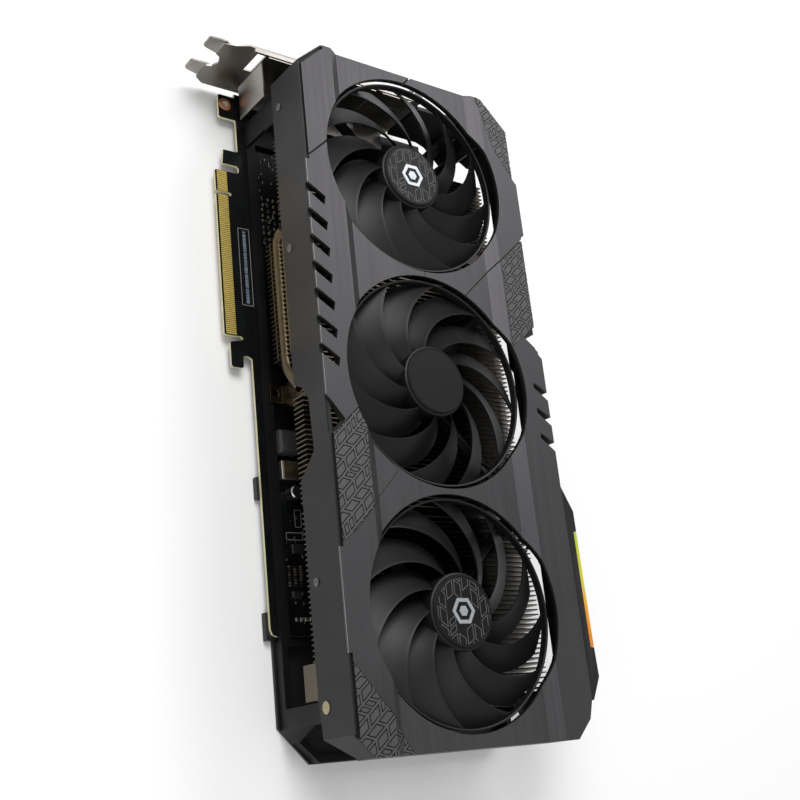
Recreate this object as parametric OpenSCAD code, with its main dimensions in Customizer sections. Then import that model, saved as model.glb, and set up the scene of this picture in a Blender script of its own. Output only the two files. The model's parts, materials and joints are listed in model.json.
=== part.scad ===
/* [Cooler] */
// Distance from the bracket's inner face to the cooler's tail
tail_x = 320.7; // [319:0.1:322]
// Edge of the front cover on the side of the edge connector
cover_low_y = 15.8; // [15.4:0.1:16]
// Edge of the front cover on the top side
cover_high_y = 143; // [142:0.1:144]
// Height of the cover's outer strips above the board
cover_z = 54.2; // [53.6:0.1:55]
// Depth of the cover's recessed middle below its strips
recess_depth = 3.2; // [2:0.1:3.4]
// Thickness of the cover sheet
sheet = 1.2; // [1:0.1:1.4]
// Thickness of the shroud frame's walls
wall = 2; // [1.6:0.1:2.2]
// Distance between neighbouring cooling fins
fin_pitch = 2.2; // [2.2:0.1:3]
// Diameter of the heat pipes
pipe_d = 6; // [6:0.1:6.4]

/* [Fans] */
// Distance from the bracket's inner face to the first fan's axis
fan_x = 56.2; // [56:0.1:56.6]
// Distance between neighbouring fan axes
fan_pitch = 104.05; // [104:0.05:104.2]
// Distance of the fan axes from the connector's lower edge
fan_y = 78.75; // [78.5:0.05:79]
// Radius of the openings in the cover
opening_r = 50.8; // [50.5:0.1:51]
// Outer radius of the ring that joins the blade tips
ring_r = 49.4; // [49:0.1:49.6]
// Outer radius of the hub cup
hub_r = 16.8; // [16.4:0.1:17]
// Number of blades on each fan
blade_count = 11; // [9:1:13]
// Angle by which a blade's tip is swept past its root
blade_sweep = 53; // [40:1:60]

/* [Board] */
// Thickness of the circuit board
board_t = 1.57; // [1.5:0.01:1.6]
// Distance from the bracket's inner face to the board's end
board_end_x = 266.6; // [264:0.1:268]
// Distance from the connector's lower edge to the board's top edge
board_top_y = 127; // [126.5:0.1:127.5]
// Distance between the contacts of the edge connector
contact_pitch = 1; // [1:0.01:1.01]

/* [Bracket] */
// Thickness of the bracket's sheet steel
bracket_t = 1; // [0.8:0.05:1]
// Depth of the bracket's outward tab
tab_depth = 11.4; // [11:0.1:11.6]
// Radius of the screw hole in the tab
tab_hole_r = 2.2; // [2:0.05:2.3]

/* [Hidden] */
$fn = 64;
tongue_y = -16;                      // tips of the bracket's tongues
bar_y = 150;                         // outer face of the light bar
back_z = -5;                         // outer face of the backplate
middle = [(tail_x - bracket_t - tab_depth) / 2, (tongue_y + bar_y) / 2, back_z];
floor_z = cover_z - recess_depth;    // front face of the recessed middle
frame_t = 1.6;                       // thickness of the frame's deck below the cover
low_wall_z = 5.5;                    // lower edge of the shroud's wall past the bracket
top_wall_z = 35.2;                   // lower edge of the shroud's wall on the top side
insert_t = 0.6;                      // thickness of the textured inserts
fan_centres = [for (i = [0:2]) [fan_x + i * fan_pitch, fan_y]];
lug = 41;                            // offset of a fan's mounting lugs from its axis
strut_angles = [45, 135, 225, 315];
gpu = [118, 72];                     // centre of the processor
pipe_z = 8.4;
pipe_offsets = [-25, -15, -5, 5, 15, 25];
fin_t = 0.5;
fin_low_y = 17.9;
fin_high_y = 138;
fin_top_z = 32.8;
deep_fins = [88, 147];               // stretch where the fins reach further down
side_pipe_y = 19.6;
rail = [16.8, 21.6];                 // stiffening rail beside the connector
rail_top = [120.4, 125.2];           // stiffening rail beside the board's top edge
plate_screws = [[38, 19.2], [148, 19.2], [250, 19.2], [38, 122.8], [170, 122.8]];
cooler_posts = [for (sx = [-1, 1], sy = [-1, 1]) gpu + [29 * sx, 29 * sy]];
ports = [[23.5, 15, 5.6], [45, 17, 6.4], [66, 17, 6.4], [87, 17, 6.4]]; // y, width, height
port_z = 0.3;
switch_x = 246;
header_x = 230;
header_y = 117;
socket_x = [196, 216];
socket_y = [113, 129];

// ---- shared helpers -------------------------------------------------------

// Moves a shape from board coordinates to the part's frame: the origin is at the middle
// of the box's lowest face.
module placed() { translate(-middle) children(); }

function unit(v) = v / norm(v);
function left_of(v) = [-v[1], v[0]];

// Moves each side of a counter-clockwise outline inwards by d.
function inset(p, d) = [
    for (i = [0:len(p) - 1])
        let (a = p[(i + len(p) - 1) % len(p)], b = p[i], c = p[(i + 1) % len(p)],
             m = left_of(unit(b - a)), n = left_of(unit(c - b)))
        b + d * (m + n) / (1 + m * n)
];

// A box given by its lowest and highest corners.
module block(low, high) { translate(low) cube(high - low); }

// Extrudes a shape drawn as (x, z) from y = low to y = high.
module along_y(low, high) {
    translate([0, high, 0]) rotate([90, 0, 0]) linear_extrude(high - low) children();
}

// Extrudes a shape drawn as (y, z) from x = low to x = high.
module along_x(low, high) {
    translate([low, 0, 0]) rotate([90, 0, 90]) linear_extrude(high - low) children();
}

// ---- outlines -------------------------------------------------------------

cover_outline = [
    [13.3, cover_low_y], [311.6, cover_low_y], [tail_x, 24.4], [tail_x, 132], [312.5, 140.4],
    [304.5, cover_high_y], [143.1, cover_high_y], [141.1, 141], [78.3, 141],
    [76.9, cover_high_y], [48.1, cover_high_y], [45.9, 141], [17.9, 141], [3.4, 127.2],
    [1.2, 121], [1.2, 29.6]
];

// The cover's cross-section line, from the connector side to the top side.
function cover_line(drop) = [
    [cover_low_y - 1, cover_z - drop], [35, cover_z - drop], [40, floor_z - drop],
    [117.5, floor_z - drop], [124.3, cover_z - drop], [cover_high_y + 1, cover_z - drop]
];
function reversed(p) = [for (i = [len(p) - 1:-1:0]) p[i]];
module cover_band(top, bottom) {
    along_x(0, tail_x + 1) polygon(concat(cover_line(top), reversed(cover_line(bottom))));
}

module fan_openings(r) {
    for (c = fan_centres) translate([c[0], c[1], 0]) cylinder(r = r, h = cover_z + 5, $fn = 96);
}

// Slanted vents in the strip beside the connector, cut from a given height, and in the top strip.
module strip_vents(low) {
    for (i = [0:6]) translate([12.7 * i, 0, low]) linear_extrude(20)
        polygon([[74.8, 14], [79.6, 14], [86, 23.7], [81.6, 24.6]]);
    for (i = [0:2]) translate([12.6 * i, 0, 45]) linear_extrude(14)
        polygon([[156, 135.2], [158.6, 134.8], [165.6, 144.5], [161.2, 144.5]]);
}

// Stretches of the connector-side wall that carry a raised lip, with a groove beside it.
groove_y = cover_low_y + 1.9;
lip_w = 0.8;
lip_ranges = [[0, 64.4], [191, 239.2], [281, tail_x]];

// Corners of the four textured inserts.
corner_insert = [
    [2, 122.6], [9, 124.4], [30.9, 130.4], [42.7, 138.6], [45.9, 141], [17.9, 141], [3.4, 127.2]
];
upper_insert = [[93.8, 125.2], [139, 125.2], [133.2, 133], [126.5, 141.4], [79.4, 141.6]];
side_insert = [
    [191.8, groove_y], [237.5, groove_y], [231.3, 26.1], [210, 46.6], [204.4, 51.6], [179.1, 31.4]
];
tail_insert = [[284.2, groove_y], [321, groove_y], [321, 45.6], [309.4, 38.1]];
inserts = [corner_insert, upper_insert, side_insert, tail_insert];

module cover_cut_outs() {
    fan_openings(opening_r);
    strip_vents(40);
    // Pockets that the inserts are glued into.
    for (p = inserts) intersection() {
        cover_band(-6, insert_t);
        linear_extrude(cover_z + 5) polygon(p);
    }
    // Open triangles beside the side insert and beside the upper insert.
    linear_extrude(cover_z + 5) polygon([[172.6, 14], [194, 14], [194, 18], [188, 22.6], [185, 24.4]]);
    linear_extrude(cover_z + 5) polygon([[126, 142], [133, 133.1], [140.6, 142]]);
    // Groove between the wall's lip and the pieces that are set back from the edge.
    for (x = lip_ranges) block([x[0], 10, 40], [x[1], groove_y + 0.01, 60]);
}

// ---- board and electronics ------------------------------------------------

module board_outline() {
    polygon([
        [1.5, 13], [3.6, 13], [3.6, 4.8], [4.4, 4], [15.5, 4], [16.3, 4.8], [16.3, 12.6], [17, 13],
        [33.4, 13], [34.1, 12.3], [34.1, 5.2], [41.8, 4.3], [41.8, 12], [42.8, 13], [44.7, 13],
        [45.9, 11.8], [45.9, 0.6], [46.5, 0], [57.05, 0], [57.05, 7.2], [57.5, 8], [58.5, 8],
        [58.95, 7.2], [58.95, 0], [129.8, 0], [130.4, 0.6], [130.4, 8.6], [131.4, 9.6],
        [132.4, 8.6], [133.5, 3.4], [134.2, 2.7], [145, 2.7], [145.8, 3.5], [145.8, 8.2],
        [145, 8.9], [140.6, 8.9], [139.8, 9.7], [139.8, 11.6], [141, 13.6],
        [board_end_x - 3, 13.6], [board_end_x - 0.9, 14.5], [board_end_x, 16.6],
        [board_end_x, board_top_y - 3], [board_end_x - 3, board_top_y], [1.5, board_top_y]
    ]);
}

module circuit_board() {
    color("#15181a") placed() translate([0, 0, -board_t]) linear_extrude(board_t) difference() {
        board_outline();
        translate([8.5, 7.6]) circle(r = 1.6);
        for (p = plate_screws) translate(p) circle(r = 1.35);
        for (p = cooler_posts) translate(p) circle(r = 1.6);
        for (y = [34.2, 97.8]) translate([5.5, y]) circle(r = 1.3);
    }
}

module edge_contacts() {
    first = [for (i = [0:10]) 46.5 + i * contact_pitch];
    second = [for (i = [0:70]) 59.45 + i * contact_pitch];
    color("#c9a24b") placed() for (x = concat(first, second), z = [0, -board_t - 0.05])
        block([x - 0.36, 0.9, z], [x + 0.36, 6.2, z + 0.05]);
}

module gpu_package() {
    color("#20301f") placed() difference() {
        block([gpu[0] - 20, gpu[1] - 20, 0], [gpu[0] + 20, gpu[1] + 20, 1.3]);
        block([gpu[0] - 16, gpu[1] - 16, 1], [gpu[0] + 16, gpu[1] + 16, 1.4]);
    }
}

module gpu_die() {
    color("#6f7680") placed() block([gpu[0] - 11, gpu[1] - 9, 1], [gpu[0] + 11, gpu[1] + 9, 2.1]);
}

memory_places = [for (sx = [-1, 1], y = [-17, 0, 17]) gpu + [34 * sx, y]];

module memory_chips() {
    color("#1a1a1c") placed() for (p = memory_places)
        block([p[0] - 6, p[1] - 7, 0.1], [p[0] + 6, p[1] + 7, 1.1]);
}

module thermal_pads() {
    color("#8f98a3") placed() for (p = memory_places)
        block([p[0] - 5.5, p[1] - 6.5, 1.1], [p[0] + 5.5, p[1] + 6.5, 2.1]);
}

module power_stages() {
    color("#232326") placed() for (x = [168.5, 214.5], i = [0:5])
        block([x - 2.5, 36 + 12 * i, 0], [x + 2.5, 42 + 12 * i, 0.9]);
}

// A moulded choke with a bevelled top.
module choke(p, w, l, h) {
    translate([p[0], p[1], 0]) {
        block([-w / 2, -l / 2, 0], [w / 2, l / 2, h - 0.8]);
        block([-w / 2 + 0.7, -l / 2 + 0.7, h - 0.8], [w / 2 - 0.7, l / 2 - 0.7, h]);
    }
}

module power_inductors() {
    color("#4b4b4d") placed() {
        for (x = [179, 204], i = [0:5]) choke([x, 39 + 12 * i], 10, 10, 5);
        choke([180.6, 26.4], 11, 9.4, 6);
    }
}

module capacitors() {
    color("#b9bbbd") placed() {
        for (i = [0:5]) translate([191.5, 39 + 12 * i, 0]) cylinder(d = 6.3, h = 5.1);
        translate([204, 28.2, 0]) cylinder(d = 6.3, h = 6.6);
        for (x = [226, 234]) translate([x, 104, 0]) cylinder(d = 5, h = 4.4);
    }
}

module small_components() {
    color("#6c6458") placed() {
        block([188.6, 23.4, 0], [197.4, 32.6, 3]);
        block([246.9, 25.6, 0], [251.1, 30.2, 0.9]);
        block([226, 27, 0], [231, 33, 1.1]);
        for (i = [0:3]) block([258.6, 26 + 2.4 * i, 0], [260.4, 27.2 + 2.4 * i, 0.8]);
        for (i = [0:7], j = [0:2])
            block([236 + 1.2 * i, 24 + 3 * j, 0], [236.6 + 1.2 * i, 25.2 + 3 * j, 0.5]);
        for (i = [0:8], j = [0:3])
            block([56 + 3 * i, 24 + 3.1 * j, 0], [57.4 + 3 * i, 24.9 + 3.1 * j, 0.6]);
    }
}

// A display socket: a metal shell open towards the bracket, with a tongue inside.
module port_shell(y, w, h, depth) {
    difference() {
        block([-1, y - w / 2, port_z - 0.3], [depth, y + w / 2, port_z + h + 0.8]);
        block([-2, y - w / 2 + 0.8, port_z + 0.6], [depth - 2, y + w / 2 - 0.8, port_z + h - 0.1]);
    }
    block([1.5, y - w / 2 + 2.5, port_z + h / 2 - 0.4], [depth - 1.5, y + w / 2 - 2.5, port_z + h / 2 + 0.6]);
}

module displayport_sockets() {
    color("#b8b7b2") placed() for (i = [1:3]) port_shell(ports[i][0], ports[i][1], ports[i][2], 15);
}

module hdmi_socket() {
    color("#b8b7b2") placed() port_shell(ports[0][0], ports[0][1], ports[0][2], 12);
}

module power_socket() {
    color("#222224") placed() {
        difference() {
            block([socket_x[0], socket_y[0], 0], [socket_x[1], socket_y[1], 8.8]);
            block([socket_x[0] + 1, socket_y[0] + 3, 1], [socket_x[1] - 1, socket_y[1] + 1, 7.8]);
        }
        // Twelve power pins in two rows, moulded into the back wall.
        for (i = [0:5], z = [2.7, 6.1]) translate([socket_x[0] + 2 + 3 * i, socket_y[0] + 2, z - 0.4])
            cube([0.8, 7, 0.8]);
    }
}

module fan_header() {
    color("#d8d4c8") placed() {
        difference() {
            block([header_x - 6, 112, 0], [header_x + 6, header_y, 5]);
            block([header_x - 5, 113, 1], [header_x + 5, header_y - 1, 6]);
        }
        for (i = [0:3])
            block([header_x - 3.9 + 2.4 * i, 114.2, 0.5], [header_x - 3.3 + 2.4 * i, 114.8, 4.4]);
    }
}

module bios_switch_body() {
    color("#2a2a2c") placed() difference() {
        block([switch_x - 4.5, 120.8, 0], [switch_x + 4.5, 126.6, 3.4]);
        block([switch_x - 2.4, 123, 1], [switch_x + 2.4, 127, 2.4]);
    }
}

module bios_switch_slider() {
    color("#c9c6bd") placed() block([switch_x - 2.2, 123.1, 1.05], [switch_x - 0.2, 129, 2.35]);
}

// ---- bracket --------------------------------------------------------------

bracket_outline = [
    [104.5, -1.6], [-3.5, -1.6], [-5, -0.8], [-8.4, 1.9], [-8.4, 12.4], [-5.6, 13.2], [-4, 16.6],
    [-5.6, 21], [-8.4, 22.7], [-8.4, 31.5], [-3, 32.4], [3, 35.3], [104.5, 35.3]
];

module tongue(low, high) {
    polygon([
        [-6.4, low - 2.4], [-14.8, low], [tongue_y, low + 1.2],
        [tongue_y, high - 1.2], [-14.8, high], [-6.4, high]
    ]);
}

module io_bracket() {
    outer = -1 - bracket_t;
    color("#9b958c") placed() difference() {
        union() {
            along_x(outer, -1) polygon(bracket_outline);
            along_x(outer - 0.8, outer + 0.2) { tongue(4.6, 12.8); tongue(24.2, 32.4); }
            // Tab that is screwed to the case.
            block([outer - tab_depth + bracket_t, 103.5, -1.6], [-1, 104.5, 35.3]);
            // Folded edge on the fan side, and a flange beside the sockets.
            block([-1.2, 5.7, 34.3], [1, 100, 35.3]);
            block([-1.2, 13.9, 3], [17.3, 14.7, 26.2]);
            // Ears that lie on the board.
            for (y = [34.2, 97.8]) block([-1.2, y - 2.2, 0], [8.5, y + 2.2, 1]);
        }
        for (p = ports, half = [p[1] / 2 - 0.4])
            block([outer - 1, p[0] - half, port_z + 0.2], [-0.5, p[0] + half, port_z + p[2] + 0.3]);
        // Vents and the narrow window near the tongues.
        for (i = [0:3]) along_x(outer - 1, 0) {
            translate([15.8 + 22 * i, 31.2]) square([16.4, 2.8]);
            for (e = [15.8, 32.2]) translate([e + 22 * i, 32.6]) circle(r = 1.4);
        }
        block([outer - 1, 9, 17.3], [-0.5, 13.4, 31.6]);
        // Pressed groove that frames the sockets' half of the plate.
        block([-1.25, 77, 22], [-0.9, 99, 22.7]);
        block([-1.25, 77, 12], [-0.9, 77.7, 22.7]);
        // Screw hole of the upper slot and open notch of the lower slot.
        translate([outer - 6, 100, 28]) rotate([-90, 0, 0]) cylinder(r = tab_hole_r, h = 8);
        translate([outer - 6, 100, 7.6]) rotate([-90, 0, 0]) cylinder(r = tab_hole_r, h = 8);
        block([outer - 6 - tab_hole_r, 100, -3], [outer - 6 + tab_hole_r, 108, 7.6]);
        for (y = [34.2, 97.8]) translate([5.5, y, -1]) cylinder(r = 1.3, h = 3);
    }
}

module bracket_screws() {
    color("#8a8a8a") placed() for (y = [34.2, 97.8]) translate([5.5, y, 0]) {
        difference() {
            translate([0, 0, 1]) cylinder(r = 2.1, h = 1.3);
            for (size = [[1.4, 0.25], [0.25, 1.4]])
                block([-size[0], -size[1], 1.7], [size[0], size[1], 2.7]);
        }
        translate([0, 0, -2.6]) cylinder(r = 1.25, h = 3.6);
    }
}

// ---- cooler ---------------------------------------------------------------

pipe_r = pipe_d / 2;
pipe_range = [37, 303];
plate_top_z = 7.6;

module cold_plate() {
    color("#b0a79a") placed() difference() {
        union() {
            block([gpu[0] - 42, gpu[1] - 33, 2.1], [gpu[0] + 42, gpu[1] + 33, plate_top_z]);
            for (p = cooler_posts) translate([p[0], p[1], 0.1]) cylinder(r = 3, h = 2.5);
        }
        for (y = pipe_offsets) translate([0, gpu[1] + y, pipe_z]) rotate([0, 90, 0])
            cylinder(r = pipe_r, h = 400);
        for (p = cooler_posts) translate([p[0], p[1], 0]) cylinder(r = 1.25, h = 3.6);
    }
}

// The pipe that is in view along the fins' edge beside the connector, bent up at both ends.
side_pipe_route = [
    [86.6, side_pipe_y, 26.2], [86.9, side_pipe_y, 24.4], [87.8, side_pipe_y, 22.3],
    [89.6, side_pipe_y, 20.8], [92.4, side_pipe_y, 20.2], [146, side_pipe_y, 20.2],
    [149.6, side_pipe_y, 20.5], [153, side_pipe_y + 0.1, 21.6], [156.6, side_pipe_y + 0.4, 23.7],
    [160.2, side_pipe_y + 0.8, 26.3], [162.6, side_pipe_y + 1.2, 28.2]
];

module heat_pipes() {
    color("#a99f90") placed() {
        for (y = pipe_offsets) translate([0, gpu[1] + y, pipe_z]) {
            translate([pipe_range[0], 0, 0]) rotate([0, 90, 0])
                cylinder(r = pipe_r, h = pipe_range[1] - pipe_range[0]);
            for (x = pipe_range) translate([x, 0, 0]) sphere(r = pipe_r);
        }
        tube(side_pipe_route, pipe_r, [0, 1, 0], 28);
    }
}

// A row of fins: each is a plate across the card whose middle reaches down to the pipes.
module fin_row(low, count, middle_z) {
    for (i = [0:count - 1]) {
        x = low + i * fin_pitch;
        side_z = x > deep_fins[0] && x < deep_fins[1] ? 11.4 : 25;
        along_x(x, x + fin_t) difference() {
            polygon([
                [fin_low_y, side_z], [42, side_z], [44, middle_z], [101, middle_z], [103, 11],
                [fin_high_y - 2, 11], [fin_high_y, 13], [fin_high_y, fin_top_z], [fin_low_y, fin_top_z]
            ]);
            for (y = pipe_offsets) translate([gpu[1] + y, pipe_z]) circle(r = pipe_r);
            // Notch for the pipe at the edge, where it runs straight.
            if (x > 93 && x < 146.5) translate([side_pipe_y, 20.2]) circle(r = pipe_r);
        }
    }
}

module fin_stack_front() { color("#a3977f") placed() fin_row(40.6, 19, 7.9); }
module fin_stack_middle() {
    color("#a3977f") placed() difference() {
        fin_row(86.8, 59, 7.9);
        // Room for the pipe's bent ends.
        block([84, 17, 16.4], [92.6, 23.4, 29.8]);
        block([152, 17, 17], [167, 24.4, 31.6]);
    }
}
module fin_stack_rear() {
    color("#a3977f") placed() {
        fin_row(218.8, 36, 4.7);
        // Plain end plate that closes the row beside the frame's arm.
        block([281.4, 17, 18.4], [296, fin_low_y + 0.4, 29.4]);
    }
}

// Two bent tabs of sheet metal: one lies on the rail and rises to the fins, the other
// stands on the fins with a T-shaped head.
module cooler_tabs() {
    color("#b0a279") placed() {
        difference() {
            union() {
                block([153.5, 19.7, 2.45], [161.8, 27, 3.45]);
                along_y(26, 27) polygon([
                    [153.5, 2.45], [161.8, 2.45], [168, 15], [168, 24.95], [157, 24.95], [153.5, 15]
                ]);
            }
            translate([157.3, 22.4, 0]) cylinder(r = 1.6, h = 6);
        }
        block([170.4, 22.5, fin_top_z + 0.05], [171.4, 25, 40.4]);
        block([170.4, 22.5, 39.4], [176.7, 25, 40.4]);
        block([176.6, 19.4, 39.4], [179, 25.5, 40.4]);
    }
}

// ---- stiffening frame and backplate ---------------------------------------

frame_outline = [
    [268.4, 17], [305.6, 17], [319.4, 31.6], [319.4, 131], [311, 139.6], [268.4, 139.6]
];

module mid_frame() {
    color("#1c1c1e") placed() difference() {
        union() {
            block([24, rail[0], 0], [265, rail[1], 2.4]);
            block([24, rail_top[0], 0], [186, rail_top[1], 2.4]);
            block([24, rail[1], 0], [29, rail_top[0], 2.4]);
            // Bracket-end plate that stands beside the sockets.
            along_y(rail[0], 18.4) polygon([[18.6, 0], [31, 0], [31, 26.7], [35.4, 29.6], [18.6, 29.6]]);
            // Rim that carries the tail past the board's end.
            translate([0, 0, back_z + 1.5]) linear_extrude(5.9) difference() {
                polygon(frame_outline);
                polygon(inset(frame_outline, 3));
            }
            block([265, rail[0], 0], [270, rail[1], 2.4]);
            // Arm that ties the rim to the shroud's wall.
            along_y(17, 21) polygon([[297, 2], [305, 2], [305, 29.2], [297, 29.2]]);
            along_y(17, 21) polygon([[305, 2], [311, 4], [305, 18]]);
            block([296.8, 18, 28], [303, 21, 39.4]);
            block([24.4, 18, 28], [32, 20, 39.4]);
            block([24.4, 16.9, 20], [32, 20, 28.6]);
            // Posts between the frame and the shroud's deck on the top side.
            block([297, 136.6, 2], [305, 139.6, cover_z - sheet - frame_t]);
            translate([24.6, 126, 0]) cylinder(r = 2.4, h = cover_z - sheet - frame_t - 0.4);
        }
        for (p = plate_screws) translate([p[0], p[1], -3]) cylinder(r = 1.25, h = 5.2);
        for (x = [28.2, 299.7]) translate([x, 17, 35.5]) rotate([-90, 0, 0]) cylinder(r = 1.3, h = 2.6);
    }
}

backplate_outline = [
    [2.4, 16], [304.2, 16], [319.6, 30.4], [319.6, 130.6], [309.6, 141], [20, 141], [2.4, 124]
];

module backplate() {
    inner_z = back_z + 1.5;
    color("#2b2b2d") placed() difference() {
        union() {
            translate([0, 0, back_z]) linear_extrude(1.5) polygon(backplate_outline);
            // Hooks over the board's edge.
            for (x = [[196, 206], [256, 267.8]])
                block([x[0], 12.3, back_z + 0.4], [x[1], 17, -board_t - 0.1]);
            for (p = plate_screws) translate([p[0], p[1], inner_z]) cylinder(r = 2.6, h = -board_t - inner_z);
            // Folded rim along the board.
            block([30, 16, inner_z], [190, 17.2, -2.4]);
            block([210, 16, inner_z], [252, 17.2, -2.4]);
            block([24, 139.8, inner_z], [300, 141, -2.4]);
        }
        for (p = plate_screws) translate([p[0], p[1], back_z - 1]) {
            cylinder(r = 1.3, h = 6);
            cylinder(r = 2.5, h = 2.2);
        }
        // Window around the cooler's retention bracket.
        block([gpu[0] - 37, gpu[1] - 37, -6], [gpu[0] + 37, gpu[1] + 37, -3]);
        // Slanted vents behind the last fan.
        for (i = [0:5]) translate([6.6 * i, 0, -6]) linear_extrude(4)
            polygon([[274, 44], [278, 44], [275.2, 112], [271.2, 112]]);
    }
}

module backplate_screws() {
    color("#8f8f90") placed() for (p = plate_screws) translate([p[0], p[1], back_z]) difference() {
        union() {
            translate([0, 0, 0.2]) cylinder(r = 2.3, h = 1);
            translate([0, 0, 1]) cylinder(r = 1.2, h = 6);
        }
        block([-1.3, -0.25, 0], [1.3, 0.25, 0.7]);
        block([-0.25, -1.3, 0], [0.25, 1.3, 0.7]);
    }
}

module retention_bracket() {
    color("#9a9a9c") placed() difference() {
        union() {
            for (a = [45, 135]) translate([gpu[0], gpu[1], -3.4]) rotate([0, 0, a])
                block([-46, -4.5, 0], [46, 4.5, 0.9]);
            translate([gpu[0], gpu[1], -3.4]) cylinder(r = 13, h = 0.9);
            for (p = cooler_posts) translate([p[0], p[1], -2.6]) cylinder(r = 3.2, h = 2.6 - board_t);
        }
        for (p = cooler_posts) translate([p[0], p[1], -5]) cylinder(r = 1.5, h = 5);
        translate([gpu[0], gpu[1], -5]) cylinder(r = 7, h = 5);
    }
}

module retention_screws() {
    color("#8f8f90") placed() for (p = cooler_posts) translate([p[0], p[1], 0]) difference() {
        union() {
            translate([0, 0, -4.6]) cylinder(r = 2.8, h = 1.2);
            translate([0, 0, -3.6]) cylinder(r = 1.2, h = 6.9);
        }
        block([-1.6, -0.3, -5], [1.6, 0.3, -4]);
        block([-0.3, -1.6, -5], [0.3, 1.6, -4]);
    }
}

// ---- shroud ---------------------------------------------------------------

module shroud_walls() {
    difference() {
        translate([0, 0, low_wall_z]) linear_extrude(cover_z - low_wall_z - sheet - 0.2) difference() {
            polygon(cover_outline);
            polygon(inset(cover_outline, wall));
        }
        // The walls stop under the cover's recessed middle.
        cover_band(-12, sheet);
        // Lower edge of the wall beside the connector.
        along_y(10, 30) polygon([
            [-5, 0], [330, 0], [330, 42], [320, 41.4], [311.8, 31.4], [296, 29.8], [206, 29.8],
            [199.6, 37.3], [195.8, 41.6], [172.7, 40.5], [166.4, 36], [163, 29.8], [-5, 29.8]
        ]);
        // The bracket end is open beside the bracket, with a slot above the low wall past it.
        block([-5, 30, 0], [16, 102, 47.5]);
        block([-5, 101.9, 32.5], [16, 126.5, 47.5]);
        // Lower edge of the wall on the top side.
        along_y(125, 150) polygon([
            [14.5, 0], [330, 0], [330, 33], [306, top_wall_z], [34, top_wall_z],
            [27.8, 29.3], [23.7, 22.8], [14.5, 16]
        ]);
        block([310, 20, 0], [330, 150, 33]);
    }
}

module shroud_frame() {
    color("#29282a") placed() difference() {
        union() {
            intersection() {
                cover_band(sheet, sheet + frame_t);
                linear_extrude(80) polygon(inset(cover_outline, 0.6));
            }
            shroud_walls();
            intersection() {
                translate([0, 0, 50]) linear_extrude(cover_z - 50.2) difference() {
                    polygon(cover_outline);
                    polygon(inset(cover_outline, lip_w));
                }
                for (x = lip_ranges) block([x[0], 10, 50], [min(x[1], 311.6), x[0] == 0 ? 30 : 24, 60]);
            }
            for (c = fan_centres, sx = [-1, 1], sy = [-1, 1])
                translate([c[0] + lug * sx, c[1] + lug * sy, 40]) cylinder(r = 3.4, h = 9);
        }
        fan_openings(opening_r + 0.05);
        // The vents notch the wall's upper edge only, and go right through the deck.
        strip_vents(52);
        intersection() {
            strip_vents(45);
            block([60, cover_low_y + wall, 45], [170, 30, 60]);
        }
        linear_extrude(cover_z + 5) polygon([[178, 18.2], [190.6, 18.2], [185.2, 23.4]]);
        translate([0, 0, 40]) linear_extrude(20)
            polygon([[129.4, 142.4], [133.2, 135.4], [138.6, 142.4]]);
        for (c = fan_centres, sx = [-1, 1], sy = [-1, 1])
            translate([c[0] + lug * sx, c[1] + lug * sy, 39]) cylinder(r = 1.3, h = 8);
        for (x = wall_screw_x) translate([x, cover_low_y - 1, 35.5]) rotate([-90, 0, 0])
            cylinder(r = 1.3, h = 4);
    }
}

wall_screw_x = [28.2, 100.3, 250, 299.7];

module wall_screws() {
    color("#77777a") placed() for (x = wall_screw_x) translate([x, cover_low_y, 35.5]) rotate([-90, 0, 0])
        difference() {
            union() {
                translate([0, 0, -0.4]) cylinder(r = x > 290 ? 2.6 : 1.9, h = 0.4);
                translate([0, 0, -0.1]) cylinder(r = 1.25, h = 3.6);
            }
            block([-0.9, -0.2, -1], [0.9, 0.2, -0.15]);
            block([-0.2, -0.9, -1], [0.2, 0.9, -0.15]);
        }
}

module cover_shell() {
    difference() {
        intersection() {
            cover_band(0, sheet);
            linear_extrude(80) polygon(cover_outline);
        }
        cover_cut_outs();
    }
}

// The cover is three pressings that meet along slanted seams.
seam = 0.35;
corner_region = [
    [3.1, 30.4], [14.3, groove_y], [62, groove_y], [50, 30.6], [56.2, 78.75],
    [5.9, 78.75], [0.6, 84], [-5, 84], [-5, 30.4]
];
upper_region = [[-5, 84 + seam], [0.6 + seam, 84 + seam], [6 + seam, 78.75 + seam], [112, 78.75 + seam],
    [160, 78.75 + seam], [117, 99.6], [93.3, 124.9], [78.9, 141.4], [78.9, 150], [-5, 150]];
main_region = [[64.2 + seam, 5], [330, 5], [330, 150], [79.4, 150], [79.4, 141.6], [93.8, 125.2],
    [117.6, 99.6], [160, 78.75], [56.2 + seam, 78.75], [50 + seam, 31], [64.2 + seam, 15.7]];

module cover_part(region) {
    color("#646265") placed() intersection() {
        cover_shell();
        linear_extrude(80) polygon(region);
    }
}

module cover_corner() { cover_part(corner_region); }
module cover_upper() { cover_part(upper_region); }
module cover_main() { cover_part(main_region); }

module insert(p) {
    color("#4a494c") placed() difference() {
        intersection() {
            cover_band(0, insert_t);
            linear_extrude(80) polygon(inset(p, 0.2));
            linear_extrude(80) polygon(cover_outline);
        }
        fan_openings(opening_r + 0.3);
    }
}

module insert_corner() { insert(corner_insert); }
module insert_upper() { insert(upper_insert); }
module insert_side() { insert(side_insert); }
module insert_tail() { insert(tail_insert); }

bar_outline = [
    [206.5, cover_high_y], [304.6, cover_high_y], [304.6, 144.6],
    [294.6, bar_y], [281.6, 149.6], [218.6, 149.2]
];

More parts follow.
